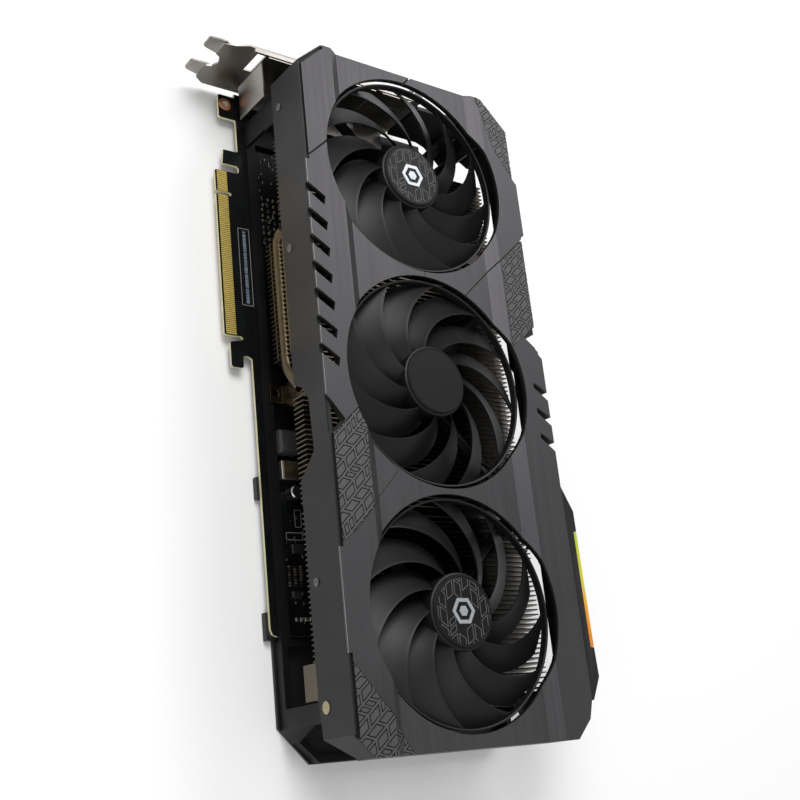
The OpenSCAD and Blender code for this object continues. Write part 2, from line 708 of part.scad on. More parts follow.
module light_bar_housing() {
    color("#1d1c1e") placed() difference() {
        intersection() {
            along_x(200, 310) polygon([
                [142, 41], [bar_y, 44], [bar_y, 53.9], [cover_high_y, cover_z - 0.1], [142, cover_z - 0.1]
            ]);
            linear_extrude(80) polygon(bar_outline);
        }
        block([228.2, 147.4, 46], [281.4, bar_y + 1, 60]);
    }
}

module light_diffuser() {
    color("#f0b040") placed() intersection() {
        along_x(228.4, 281.2) polygon([[147.6, 46.2], [bar_y, 46.2], [bar_y, 53.8], [147.6, 53.9]]);
        linear_extrude(80) polygon(bar_outline);
    }
}

// ---- fans -----------------------------------------------------------------

module at_fan(i) { placed() translate([fan_centres[i][0], fan_centres[i][1], 0]) children(); }

module fan_base(i) {
    color("#1e1e20") at_fan(i) difference() {
        union() {
            translate([0, 0, 34]) cylinder(r = 15.2, h = 1.6);
            translate([0, 0, 34]) cylinder(r = 4.6, h = 9);
            for (a = strut_angles) rotate([0, 0, a]) block([12, -2.6, 34], [60, 2.6, 36]);
            for (a = strut_angles) rotate([0, 0, a]) translate([lug * sqrt(2), 0, 34])
                cylinder(r = 3.4, h = 6);
        }
        translate([0, 0, 35]) cylinder(r = 3.2, h = 10);
        for (a = strut_angles) rotate([0, 0, a]) translate([lug * sqrt(2), 0, 33]) cylinder(r = 1.3, h = 8);
    }
}

module fan_bearing(i) {
    color("#a98b52") at_fan(i) difference() {
        translate([0, 0, 35]) cylinder(r = 3.2, h = 8);
        translate([0, 0, 34]) cylinder(r = 1.55, h = 10);
    }
}

module fan_stator(i) {
    color("#8a5a34") at_fan(i) difference() {
        union() {
            translate([0, 0, 37]) cylinder(r = 6.4, h = 5);
            for (a = [0:45:315]) rotate([0, 0, a]) {
                block([5, -1.5, 37.4], [12, 1.5, 41.6]);
                block([11, -3.4, 37], [13, 3.4, 42]);
            }
        }
        translate([0, 0, 36]) cylinder(r = 4.6, h = 8);
    }
}

module fan_shaft(i) {
    color("#c8c8c8") at_fan(i) translate([0, 0, 35.4]) cylinder(r = 1.5, h = 12.6);
}

blade_rows = 6;
blade_cols = 4;
blade_top_z = 49.2;
blade_drop = 10;
tip_drop = 0.6;
blade_t = 1.4;
blade_phase = [4, 5, 7.5];           // how far each rotor is turned at rest

// Point on a blade: i counts from root to tip, j from the trailing to the leading edge.
function blade_point(i, j, lower) =
    let (t = i / blade_rows, s = 1 - j / blade_cols,
         r = hub_r - 0.8 + t * (ring_r - 0.5 - hub_r + 0.8),
         start = blade_sweep * t,
         width = 31 - 6 * t,
         top = blade_top_z - tip_drop * pow(t, 2) - blade_drop * (1 - 0.25 * t) * pow(s, 0.9),
         z = top - (lower ? blade_t : 0))
    [r * cos(start - width * s), r * sin(start - width * s), z];

function grid_index(i, j, lower) =
    ((lower ? blade_rows + 1 : 0) + i) * (blade_cols + 1) + j;

// Two triangles that close the quad a-b-c-d.
function quad(a, b, c, d) = [[a, b, c], [a, c, d]];

module blade() {
    points = [for (lower = [false, true], i = [0:blade_rows], j = [0:blade_cols]) blade_point(i, j, lower)];
    top = [for (i = [0:blade_rows - 1], j = [0:blade_cols - 1], f = quad(grid_index(i, j, false),
        grid_index(i, j + 1, false), grid_index(i + 1, j + 1, false), grid_index(i + 1, j, false))) f];
    bottom = [for (i = [0:blade_rows - 1], j = [0:blade_cols - 1], f = quad(grid_index(i, j, true),
        grid_index(i + 1, j, true), grid_index(i + 1, j + 1, true), grid_index(i, j + 1, true))) f];
    edges_i = [for (i = [0:blade_rows - 1], f = concat(
        quad(grid_index(i, 0, false), grid_index(i + 1, 0, false),
             grid_index(i + 1, 0, true), grid_index(i, 0, true)),
        quad(grid_index(i, blade_cols, false), grid_index(i, blade_cols, true),
             grid_index(i + 1, blade_cols, true), grid_index(i + 1, blade_cols, false)))) f];
    edges_j = [for (j = [0:blade_cols - 1], f = concat(
        quad(grid_index(0, j, false), grid_index(0, j, true),
             grid_index(0, j + 1, true), grid_index(0, j + 1, false)),
        quad(grid_index(blade_rows, j, false), grid_index(blade_rows, j + 1, false),
             grid_index(blade_rows, j + 1, true), grid_index(blade_rows, j, true)))) f];
    polyhedron(points, concat(top, bottom, edges_i, edges_j));
}

// The middle fan turns the other way, so its blades are mirrored.
module fan_rotor(i) {
    color("#1b1c20") at_fan(i) mirror([0, i == 1 ? 1 : 0, 0]) {
        difference() {
            translate([0, 0, 38]) cylinder(r = hub_r, h = 11.4);
            translate([0, 0, 37]) cylinder(r = hub_r - 1.6, h = 9.8);
            translate([0, 0, 36]) cylinder(r = 1.5, h = 12);
        }
        difference() {
            translate([0, 0, 45]) cylinder(r = ring_r, h = 4);
            translate([0, 0, 44]) cylinder(r = ring_r - 1, h = 6);
        }
        for (k = [0:blade_count - 1]) rotate([0, 0, blade_phase[i] + k * 360 / blade_count]) blade();
    }
}

module hub_cap(i) {
    color("#26272b") at_fan(i) difference() {
        translate([0, 0, 49.4]) cylinder(r = 15.75, h = 1.1);
        difference() {
            translate([0, 0, 50.2]) cylinder(r = 14.6, h = 1);
            translate([0, 0, 50.1]) cylinder(r = 14.2, h = 2);
        }
    }
}

module fan_screws() {
    for (i = [0:2], sx = [-1, 1], sy = [-1, 1])
        color("#77777a") at_fan(i) translate([lug * sx, lug * sy, 0]) {
            translate([0, 0, 33.1]) cylinder(r = 2.3, h = 0.9);
            translate([0, 0, 33.5]) cylinder(r = 1.25, h = 11.5);
        }
}

// ---- fan leads ------------------------------------------------------------

lead_r = 0.6;
lane_y = 139.2;                      // the leads run beside the fins' top edge

// Points of a lead's route: out along a strut, over the fins, along the cooler's open side
// and down to the header.
function lead_route(i) =
    let (c = fan_centres[i], dir = i == 2 ? -1 : 1, exit_x = c[0] + dir * 35.4,
         end_x = header_x - 3 + 3.5 * i, run_z = [24, 28, 30][i])
    [
        [c[0] + dir * 9.4, c[1] + 9.4, 36.8], [c[0] + dir * 22, c[1] + 22, 36.8],
        [c[0] + dir * 32, c[1] + 32, 36.8], [c[0] + dir * 34.6, c[1] + 37, 36.8],
        [c[0] + dir * 35.2, c[1] + 42, 36.8], [exit_x, c[1] + 48, 35.4],
        [exit_x, c[1] + 57, 34.4], [exit_x, 138.4, 34],
        [exit_x + 0.6, lane_y, 32.6], [exit_x + 2, lane_y, run_z], [end_x - 1.6, lane_y, run_z - 1],
        [end_x, lane_y, run_z - 4], [end_x, lane_y, 10], [end_x, 137.6, 7], [end_x, 130, 6.4],
        [end_x, 122, 5], [end_x, 119.2, 3], [end_x, header_y + 0.05, 3]
    ];

// A round rod along a route. The reference direction is never parallel to the route.
module tube(route, r, reference, sides) {
    last = len(route) - 1;
    function tangent(k) = unit(route[min(k + 1, last)] - route[max(k - 1, 0)]);
    function corner(k, a) = k * sides + a % sides;
    points = [
        for (k = [0:last])
            let (t = tangent(k), u = unit(cross(t, reference)), v = cross(t, u))
            for (a = [0:sides - 1])
                route[k] + r * (cos(360 * a / sides) * u + sin(360 * a / sides) * v)
    ];
    walls = [
        for (k = [0:last - 1], a = [0:sides - 1],
             f = quad(corner(k, a), corner(k + 1, a), corner(k + 1, a + 1), corner(k, a + 1))) f
    ];
    ends = [
        [for (a = [0:sides - 1]) corner(0, a)],
        [for (a = [sides - 1:-1:0]) corner(last, a)]
    ];
    polyhedron(points, concat(walls, ends));
}

module fan_leads() {
    color("#202022") placed() for (i = [0:2])
        tube(lead_route(i), lead_r, [i == 2 ? -1 : 1, -1, 0.3], 8);
}

module fan_base_front() { fan_base(0); }
module fan_base_middle() { fan_base(1); }
module fan_base_rear() { fan_base(2); }
module fan_bearing_front() { fan_bearing(0); }
module fan_bearing_middle() { fan_bearing(1); }
module fan_bearing_rear() { fan_bearing(2); }
module fan_stator_front() { fan_stator(0); }
module fan_stator_middle() { fan_stator(1); }
module fan_stator_rear() { fan_stator(2); }
module fan_rotor_front() { fan_rotor(0); }
module fan_rotor_middle() { fan_rotor(1); }
module fan_rotor_rear() { fan_rotor(2); }
module fan_shaft_front() { fan_shaft(0); }
module fan_shaft_middle() { fan_shaft(1); }
module fan_shaft_rear() { fan_shaft(2); }
module hub_cap_front() { hub_cap(0); }
module hub_cap_middle() { hub_cap(1); }
module hub_cap_rear() { hub_cap(2); }

circuit_board();
edge_contacts();
gpu_package();
gpu_die();
memory_chips();
thermal_pads();
power_stages();
power_inductors();
capacitors();
small_components();
displayport_sockets();
hdmi_socket();
io_bracket();
bracket_screws();
power_socket();
fan_header();
cold_plate();
heat_pipes();
fin_stack_front();
fin_stack_middle();
fin_stack_rear();
cooler_tabs();
mid_frame();
backplate();
backplate_screws();
retention_bracket();
retention_screws();
shroud_frame();
cover_corner();
cover_upper();
cover_main();
insert_corner();
insert_upper();
insert_side();
insert_tail();
light_bar_housing();
light_diffuser();
wall_screws();
bios_switch_body();
bios_switch_slider();
fan_screws();
fan_leads();
fan_base_front();
fan_bearing_front();
fan_stator_front();
fan_rotor_front();
fan_shaft_front();
hub_cap_front();
fan_base_middle();
fan_bearing_middle();
fan_stator_middle();
fan_rotor_middle();
fan_shaft_middle();
hub_cap_middle();
fan_base_rear();
fan_bearing_rear();
fan_stator_rear();
fan_rotor_rear();
fan_shaft_rear();
hub_cap_rear();
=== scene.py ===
"""Looks of the graphics card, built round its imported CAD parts. Lengths in metres, in the row's frame."""

import json
import math
import random

import bmesh
import bpy
from mathutils import Matrix, Vector


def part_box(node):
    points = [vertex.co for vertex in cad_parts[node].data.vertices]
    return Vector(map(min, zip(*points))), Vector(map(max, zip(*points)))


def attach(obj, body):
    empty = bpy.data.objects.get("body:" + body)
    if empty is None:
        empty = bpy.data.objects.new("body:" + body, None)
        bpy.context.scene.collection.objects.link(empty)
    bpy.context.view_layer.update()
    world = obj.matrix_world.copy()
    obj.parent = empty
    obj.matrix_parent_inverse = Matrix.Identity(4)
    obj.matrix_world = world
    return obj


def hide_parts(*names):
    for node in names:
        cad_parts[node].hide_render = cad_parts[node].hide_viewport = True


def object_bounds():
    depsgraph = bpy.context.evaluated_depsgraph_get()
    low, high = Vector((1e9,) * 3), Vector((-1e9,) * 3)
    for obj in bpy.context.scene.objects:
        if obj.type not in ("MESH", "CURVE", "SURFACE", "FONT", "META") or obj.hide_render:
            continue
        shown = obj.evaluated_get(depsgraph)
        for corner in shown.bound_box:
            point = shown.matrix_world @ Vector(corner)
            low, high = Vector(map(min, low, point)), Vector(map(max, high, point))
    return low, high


MM = 0.001
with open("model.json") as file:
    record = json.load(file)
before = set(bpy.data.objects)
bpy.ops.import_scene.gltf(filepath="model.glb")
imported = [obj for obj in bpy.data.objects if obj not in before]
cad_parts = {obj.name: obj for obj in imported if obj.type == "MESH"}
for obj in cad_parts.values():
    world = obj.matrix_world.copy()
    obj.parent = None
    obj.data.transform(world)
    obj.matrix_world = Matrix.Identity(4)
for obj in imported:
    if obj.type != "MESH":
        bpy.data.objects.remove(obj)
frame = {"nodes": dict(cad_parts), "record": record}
CAD_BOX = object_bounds()
NODES = frame["nodes"]
BODY_OF = {n: b for b, names in frame["record"]["behaviour"]["bodies"].items() for n in names}
SLOT_OF = {s["node"]: s["material_slot"] for s in frame["record"]["subparts"]}

# Board coordinates, in millimetres: x from the bracket's plane, y from the connector's edge,
# z from the board's face.
BOARD_LOW, BOARD_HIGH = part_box("circuit_board")
BOARD_FIRST_X = 1.5
ORIGIN = Vector((BOARD_LOW.x - BOARD_FIRST_X * MM, BOARD_LOW.y, BOARD_HIGH.z))


def at(x, y, z=0.0):
    """A point given in board coordinates, in the row's frame."""
    return ORIGIN + Vector((x, y, z)) * MM


def in_board(point):
    """Board coordinates of a point of the row's frame."""
    return (point - ORIGIN) / MM


# ---- materials --------------------------------------------------------------


class Shader:
    """A material with one Principled shader, and short calls for the nodes round it."""

    def __init__(self, name, **sockets):
        self.material = bpy.data.materials.new(name)
        self.material.use_nodes = True
        self.tree = self.material.node_tree
        self.bsdf = self.tree.nodes["Principled BSDF"]
        for key, value in sockets.items():
            self.bsdf.inputs[key.replace("_", " ")].default_value = value

    def node(self, kind, **settings):
        made = self.tree.nodes.new(kind)
        for key, value in settings.items():
            setattr(made, key, value)
        return made

    def link(self, a, b):
        self.tree.links.new(a, b)

    def coordinates(self, scale=(1, 1, 1), turn=0.0):
        """Object coordinates, stretched and turned about Z."""
        place = self.node("ShaderNodeTexCoord")
        mapping = self.node("ShaderNodeMapping")
        mapping.inputs["Scale"].default_value = scale
        mapping.inputs["Rotation"].default_value = (0, 0, turn)
        self.link(place.outputs["Object"], mapping.inputs["Vector"])
        return mapping.outputs["Vector"]

    def noise(self, scale, stretch=(1, 1, 1), detail=3.0, turn=0.0):
        texture = self.node("ShaderNodeTexNoise")
        texture.inputs["Scale"].default_value = scale
        texture.inputs["Detail"].default_value = detail
        self.link(self.coordinates(stretch, turn), texture.inputs["Vector"])
        return texture.outputs["Fac"]

    def ramp(self, factor, *stops):
        """Colours or values against a factor: each stop is (position, colour)."""
        ramp = self.node("ShaderNodeValToRGB")
        elements = ramp.color_ramp.elements
        while len(elements) < len(stops):
            elements.new(0.5)
        for element, (position, colour) in zip(elements, stops):
            element.position = position
            element.color = (*colour, 1) if len(colour) == 3 else colour
        self.link(factor, ramp.inputs["Fac"])
        return ramp.outputs["Color"]

    def between(self, factor, low, high):
        """Maps a factor of 0.3 to 0.7 to the range low to high."""
        mapped = self.node("ShaderNodeMapRange")
        mapped.inputs["From Min"].default_value = 0.3
        mapped.inputs["From Max"].default_value = 0.7
        mapped.inputs["To Min"].default_value = low
        mapped.inputs["To Max"].default_value = high
        self.link(factor, mapped.inputs["Value"])
        return mapped.outputs["Result"]

    def colour(self, output):
        self.link(output, self.bsdf.inputs["Base Color"])
        return self

    def roughness(self, output):
        self.link(output, self.bsdf.inputs["Roughness"])
        return self

    def bump(self, factor, height, strength=1.0):
        bump = self.node("ShaderNodeBump")
        bump.inputs["Distance"].default_value = height
        bump.inputs["Strength"].default_value = strength
        self.link(factor, bump.inputs["Height"])
        self.link(bump.outputs["Normal"], self.bsdf.inputs["Normal"])
        return self


def shade(colour, k):
    return tuple(min(1.0, c * k) for c in colour)


def brushed(name, colour, metallic, low, high, contrast=0.12, stretch=(6, 900, 900), turn=0.0):
    """Brushed metal: fine streaks in colour, gloss and relief."""
    s = Shader(name, Metallic=metallic)
    streaks = s.noise(1.0, stretch, 4.0, turn)
    blotches = s.noise(14.0, detail=2.0)
    mixed = s.node("ShaderNodeMath", operation="ADD")
    halved = s.node("ShaderNodeMath", operation="MULTIPLY")
    s.link(streaks, mixed.inputs[0])
    s.link(blotches, mixed.inputs[1])
    s.link(mixed.outputs[0], halved.inputs[0])
    halved.inputs[1].default_value = 0.5
    dark, light = shade(colour, 1 - contrast), shade(colour, 1 + contrast)
    s.colour(s.ramp(halved.outputs[0], (0.35, dark), (0.65, light)))
    s.roughness(s.between(streaks, low, high))
    return s.bump(streaks, 0.00002, 0.35).material


def moulded(name, colour, low, high, grain=2600.0, depth=0.00002, **sockets):
    """Moulded plastic or paint: a fine grain and slight changes of gloss."""
    s = Shader(name, **sockets)
    fine = s.noise(grain, detail=2.0)
    broad = s.noise(35.0, detail=3.0)
    s.colour(s.ramp(broad, (0.3, shade(colour, 0.86)), (0.7, shade(colour, 1.14))))
    s.roughness(s.between(broad, low, high))
    return s.bump(fine, depth, 0.5).material


def plated(name, colour, low, high, contrast=0.1, scale=220.0, metallic=1.0):
    """Plated or polished metal with a soft mottle."""
    s = Shader(name, Metallic=metallic)
    mottle = s.noise(scale, detail=4.0)
    s.colour(s.ramp(mottle, (0.3, shade(colour, 1 - contrast)), (0.7, shade(colour, 1 + contrast))))
    s.roughness(s.between(mottle, low, high))
    return s.bump(mottle, 0.00003, 0.25).material


def board_mask():
    """Black solder mask: traces that run in slanted bundles show as slightly raised, paler lines."""
    s = Shader("board_mask", Roughness=0.42, Specular_IOR_Level=0.15)
    wave = s.node("ShaderNodeTexWave", wave_type="BANDS", bands_direction="Y")
    wave.inputs["Scale"].default_value = 210.0
    wave.inputs["Distortion"].default_value = 0.0
    s.link(s.coordinates(turn=math.radians(32)), wave.inputs["Vector"])
    areas = s.noise(90.0, detail=1.0)
    gate = s.node("ShaderNodeMath", operation="GREATER_THAN")
    gate.inputs[1].default_value = 0.52
    lines = s.node("ShaderNodeMath", operation="MULTIPLY")
    s.link(areas, gate.inputs[0])
    s.link(gate.outputs[0], lines.inputs[0])
    s.link(wave.outputs["Fac"], lines.inputs[1])
    s.colour(s.ramp(lines.outputs[0], (0.0, (0.0018, 0.0022, 0.0026)), (0.9, (0.005, 0.0065, 0.007))))
    return s.bump(lines.outputs[0], 0.00003, 0.5).material


def cut_laminate():
    """The board's sawn edge: pale yellow glass laminate in thin plies."""
    s = Shader("cut_laminate", Roughness=0.55)
    plies = s.noise(1.0, (120, 120, 5200), 2.0)
    s.colour(s.ramp(plies, (0.35, (0.44, 0.42, 0.24)), (0.65, (0.72, 0.70, 0.46))))
    return s.bump(plies, 0.00002, 0.4).material


def lit_diffuser():
    """Translucent strip lit from behind: green-yellow at the bracket end, orange at the tail end."""
    low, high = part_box("light_diffuser")
    s = Shader("lit_diffuser", Roughness=0.55, Specular_IOR_Level=0.15)
    place = s.node("ShaderNodeTexCoord")
    split = s.node("ShaderNodeSeparateXYZ")
    along = s.node("ShaderNodeMapRange")
    along.inputs["From Min"].default_value = low.x
    along.inputs["From Max"].default_value = high.x
    s.link(place.outputs["Object"], split.inputs[0])
    s.link(split.outputs["X"], along.inputs["Value"])
    glow = s.ramp(along.outputs["Result"], (0.0, (0.44, 0.62, 0.05)), (0.45, (0.72, 0.60, 0.05)),
                  (0.68, (0.84, 0.36, 0.03)), (1.0, (0.80, 0.22, 0.01)))
    s.colour(s.ramp(along.outputs["Result"], (0.0, (0.02, 0.03, 0.01)), (1.0, (0.04, 0.015, 0.01))))
    s.link(glow, s.bsdf.inputs["Emission Color"])
    s.bsdf.inputs["Emission Strength"].default_value = 0.9
    return s.bump(s.noise(900.0), 0.00002, 0.3).material


def wound_copper():
    """Enamelled windings: close turns of thin wire."""
    s = Shader("wound_copper", Metallic=0.7, Roughness=0.35)
    turns = s.noise(1.0, (300, 300, 6000), 1.0)
    s.colour(s.ramp(turns, (0.4, (0.16, 0.05, 0.02)), (0.6, (0.55, 0.22, 0.09))))
    return s.bump(turns, 0.0001, 0.6).material


def printed_label():
    """A black label with a strip of thin pale bars."""
    s = Shader("printed_label", Roughness=0.5)
    bars = s.noise(1.0, (2400, 20, 20), 0.0)
    s.colour(s.ramp(bars, (0.47, (0.02, 0.025, 0.035)), (0.53, (0.16, 0.20, 0.27))))
    return s.bump(bars, 0.00001, 0.2).material


MATERIAL = {
    "cover": brushed("cover_brushed", (0.075, 0.072, 0.076), 0.8, 0.40, 0.52, contrast=0.10),
    "polished": plated("polished_edge", (0.86, 0.86, 0.87), 0.30, 0.42),
    "insert": brushed("insert_metal", (0.092, 0.090, 0.094), 0.6, 0.46, 0.58,
                      contrast=0.06, stretch=(300, 300, 300)),
    "engraved": moulded("engraved_floor", (0.003, 0.003, 0.0035), 0.5, 0.65, Specular_IOR_Level=0.1),
    "shroud": moulded("shroud_plastic", (0.0088, 0.0080, 0.0086), 0.42, 0.54, Specular_IOR_Level=0.3),
    "duct": moulded("duct_gloss", (0.004, 0.004, 0.0045), 0.14, 0.22, Specular_IOR_Level=0.4),
    "rotor": moulded("rotor_plastic", (0.0085, 0.0088, 0.0098), 0.38, 0.46,
                     grain=1800.0, Specular_IOR_Level=0.3),
    "cap": moulded("cap_plastic", (0.0055, 0.0055, 0.006), 0.42, 0.52, Specular_IOR_Level=0.18),
    "cap_lines": moulded("cap_lines", (0.085, 0.087, 0.090), 0.4, 0.5, Specular_IOR_Level=0.3),
    "emblem": brushed("emblem_foil", (0.42, 0.45, 0.48), 0.6, 0.34, 0.44,
                      contrast=0.08, stretch=(900, 40, 900)),
    "fan_base": moulded("fan_base_plastic", (0.007, 0.007, 0.0075), 0.42, 0.52, Specular_IOR_Level=0.3),
    "bearing": plated("bearing_bronze", (0.60, 0.44, 0.22), 0.3, 0.42),
    "stator": wound_copper(),
    "shaft": plated("shaft_steel", (0.75, 0.75, 0.76), 0.12, 0.2),
    "pcb": board_mask(),
    "laminate": cut_laminate(),
    "label": printed_label(),
    "silk": moulded("silk_screen", (0.30, 0.30, 0.29), 0.5, 0.6),
    "gold": plated("contact_gold", (1.0, 0.74, 0.20), 0.30, 0.42,
                   contrast=0.06, scale=600.0, metallic=0.75),
    "ring_copper": plated("ring_copper", (0.80, 0.34, 0.16), 0.3, 0.42),
    "substrate": moulded("package_laminate", (0.02, 0.05, 0.025), 0.4, 0.5),
    "silicon": plated("die_silicon", (0.30, 0.32, 0.36), 0.08, 0.14),
    "chip": moulded("chip_resin", (0.010, 0.010, 0.011), 0.45, 0.6, Specular_IOR_Level=0.35),
    "pad": moulded("pad_silicone", (0.24, 0.27, 0.31), 0.75, 0.85),
    "choke": moulded("choke_powder", (0.045, 0.042, 0.042), 0.5, 0.62, Metallic=0.3),
    "can": plated("can_aluminium", (0.50, 0.50, 0.51), 0.2, 0.3),
    "can_top": moulded("can_top", (0.02, 0.02, 0.022), 0.35, 0.5, Metallic=0.5),
    "tin": plated("tin_solder", (0.66, 0.65, 0.62), 0.26, 0.4),
    "ceramic": moulded("ceramic_tan", (0.16, 0.115, 0.065), 0.45, 0.6),
    "smd": plated("shield_brass", (0.28, 0.22, 0.13), 0.34, 0.46),
    "shell": plated("socket_shell", (0.32, 0.31, 0.29), 0.28, 0.4),
    "bracket": plated("bracket_steel", (0.30, 0.285, 0.265), 0.30, 0.40, contrast=0.04, scale=60.0),
    "brass": plated("screw_brass", (0.36, 0.32, 0.19), 0.26, 0.4),
    "screw": plated("screw_steel", (0.12, 0.12, 0.125), 0.26, 0.4),
    "socket": moulded("socket_nylon", (0.012, 0.012, 0.013), 0.42, 0.55),
    "header": moulded("header_nylon", (0.45, 0.43, 0.38), 0.45, 0.58),
    "copper_plated": plated("plated_copper", (0.10, 0.078, 0.048), 0.24, 0.38),
    "fins": brushed("fin_metal", (0.115, 0.095, 0.070), 1.0, 0.3, 0.44, stretch=(60, 60, 900)),
    "frame_metal": moulded("frame_paint", (0.0035, 0.0035, 0.004), 0.44, 0.56, Specular_IOR_Level=0.2),
    "backplate": brushed("backplate_metal", (0.035, 0.035, 0.037), 0.7, 0.36, 0.5),
    "spring_steel": plated("spring_steel", (0.42, 0.42, 0.43), 0.26, 0.4),
    "bar": moulded("bar_plastic", (0.0095, 0.009, 0.0098), 0.32, 0.42, Specular_IOR_Level=0.35),
    "diffuser": lit_diffuser(),
    "switch": moulded("switch_nylon", (0.5, 0.49, 0.46), 0.42, 0.55),
    "lead": moulded("lead_sleeve", (0.01, 0.01, 0.011), 0.55, 0.7),
}

# ---- mesh helpers -----------------------------------------------------------


def finish_piece(name, mesh, node, materials, replaces=False, sharp=30.0):
    """Makes an object of a mesh with the given materials and rides it on a node's body."""
    for key in materials:
        mesh.materials.append(MATERIAL[key])
    mesh.shade_smooth()
    mesh.set_sharp_from_angle(angle=math.radians(sharp))
    piece = bpy.data.objects.new(name, mesh)
    bpy.context.scene.collection.objects.link(piece)
    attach(piece, BODY_OF[node])
    if replaces:
        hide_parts(node)
    return piece


def from_bmesh(name, bm):
    bmesh.ops.recalc_face_normals(bm, faces=bm.faces)
    mesh = bpy.data.meshes.new(name)
    bm.to_mesh(mesh)
    bm.free()
    return mesh


def clean_copy(node):
    """The node's mesh as a bmesh with shared corners and flat faces joined."""
    bm = bmesh.new()
    bm.from_mesh(NODES[node].data)
    bmesh.ops.remove_doubles(bm, verts=bm.verts, dist=1e-6)
    bmesh.ops.dissolve_limit(bm, angle_limit=math.radians(0.4), verts=bm.verts, edges=bm.edges)
    return bm


def sharp_edges(bm, least):
    limit = math.radians(least)
    return [e for e in bm.edges if len(e.link_faces) == 2 and e.calc_face_angle(0) > limit]


def break_edges(bm, edges, width, material=-1):
    bmesh.ops.bevel(bm, geom=edges, offset=width * MM, segments=1, profile=0.5, affect="EDGES",
                    clamp_overlap=True, material=material)


def refined(node, name, materials, width=0.2, paint=None, sharp=30.0):
    """A node's shape with its sharp edges broken; paint picks each face's material."""
    bm = clean_copy(node)
    if width:
        break_edges(bm, sharp_edges(bm, 38.0), width)
    if paint:
        bm.normal_update()
        for face in bm.faces:
            face.material_index = paint(face)
    return finish_piece(name, from_bmesh(name, bm), node, materials, replaces=True, sharp=sharp)


def lathe(bm, centre, profile, steps, material=0):
    """Turns a closed profile of (radius, height), in millimetres, about Z."""
    rings = []
    for i in range(steps):
        a = 2 * math.pi * i / steps
        spots = [Vector((r * math.cos(a), r * math.sin(a), z)) for r, z in profile]
        rings.append([bm.verts.new(centre + spot * MM) for spot in spots])
    for i, ring in enumerate(rings):
        following = rings[(i + 1) % steps]
        for j in range(len(profile)):
            k = (j + 1) % len(profile)
            face = bm.faces.new((ring[j], following[j], following[k], ring[k]))
            face.material_index = material


def disc(bm, centre, radius, low, high, steps, edge=0.2, material=0):
    """A round plate with a broken top edge."""
    profile = [(radius, low), (radius, high - edge), (radius - edge, high)]
    rings = [[bm.verts.new(centre + Vector((r * math.cos(a), r * math.sin(a), z)) * MM)
              for a in (2 * math.pi * i / steps for i in range(steps))] for r, z in profile]
    faces = [bm.faces.new(list(reversed(rings[0]))), bm.faces.new(rings[-1])]
    for lower, upper in zip(rings, rings[1:]):
        for i in range(steps):
            k = (i + 1) % steps
            faces.append(bm.faces.new((lower[i], lower[k], upper[k], upper[i])))
    for face in faces:
        face.material_index = material


def block(bm, low, high, edge=0.0, material=0):
    """A box in board millimetres, with its edges broken by edge."""
    a, b = at(*low), at(*high)
    corners = [bm.verts.new((x, y, z)) for x in (a.x, b.x) for y in (a.y, b.y) for z in (a.z, b.z)]
    quads = ((0, 1, 3, 2), (4, 6, 7, 5), (0, 4, 5, 1), (2, 3, 7, 6), (0, 2, 6, 4), (1, 5, 7, 3))
    faces = [bm.faces.new([corners[i] for i in q]) for q in quads]
    for face in faces:
        face.material_index = material
    if edge:
        edges = list({e for f in faces for e in f.edges})
        bmesh.ops.bevel(bm, geom=edges, offset=edge * MM, segments=1, affect="EDGES", clamp_overlap=True,
                        material=material)


def clip(outline, window):
    """The part of a polygon that lies inside a convex counter-clockwise window."""
    kept = list(outline)
    for i, a in enumerate(window):
        edge = window[(i + 1) % len(window)] - a
        given, kept = kept, []
        for j, p in enumerate(given):
            q = given[j - 1]
            p_side = edge.cross(p - a)
            q_side = edge.cross(q - a)
            if (p_side >= 0) != (q_side >= 0):
                kept.append(q + (p - q) * q_side / (q_side - p_side))
            if p_side >= 0:
                kept.append(p)
    return kept


def outline_area(outline):
    return sum(outline[i - 1].cross(p) for i, p in enumerate(outline)) / 2


def plate(bm, outline, top, depth, material=0):
    """A thin plate: an outline in millimetres of the row's frame, under a height function in metres."""
    if len(outline) < 3 or outline_area(outline) < 0.03:
        return
    upper = [bm.verts.new((p.x * MM, p.y * MM, top(p.x * MM, p.y * MM))) for p in outline]
    lower = [bm.verts.new(v.co - Vector((0, 0, depth * MM))) for v in upper]
    faces = [bm.faces.new(upper), bm.faces.new(list(reversed(lower)))]
    for i in range(len(outline)):
        k = (i + 1) % len(outline)
        faces.append(bm.faces.new((lower[i], lower[k], upper[k], upper[i])))
    for face in faces:
        face.material_index = material


# ---- cover, inserts and shroud ----------------------------------------------

COVER_LOW, COVER_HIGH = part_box("cover_main")
SLOT_STRIP = (63.0, 171.5)
TAIL_STRIP = (240.0, 280.6)


def on_polished_rim(edge):
    """True for the cover's outer edge beside the connector, between the inserts."""
    ends = [in_board(v.co) for v in edge.verts]
    low_y = in_board(COVER_LOW).y
    high_z = in_board(COVER_HIGH).z
    middle = (ends[0].x + ends[1].x) / 2
    inside = SLOT_STRIP[0] < middle < SLOT_STRIP[1] or TAIL_STRIP[0] < middle < TAIL_STRIP[1]
    return inside and all(abs(p.y - low_y) < 0.05 and abs(p.z - high_z) < 0.05 for p in ends)


def untouched_edges(bm):
    """Sharp edges of the outer face that have not been broken yet."""
    least_z = COVER_LOW.z + MM
    return [e for e in sharp_edges(bm, 38.0) if (e.verts[0].co.z + e.verts[1].co.z) / 2 > least_z
            and not any(face.material_index for face in e.link_faces)]


def on_seam(edge):
    """True for slanted edges: the seams between pressings and the sides of the vents."""
    run = (edge.verts[1].co - edge.verts[0].co) / MM
    return run.length > 4.6 and min(abs(run.x), abs(run.y)) > 2


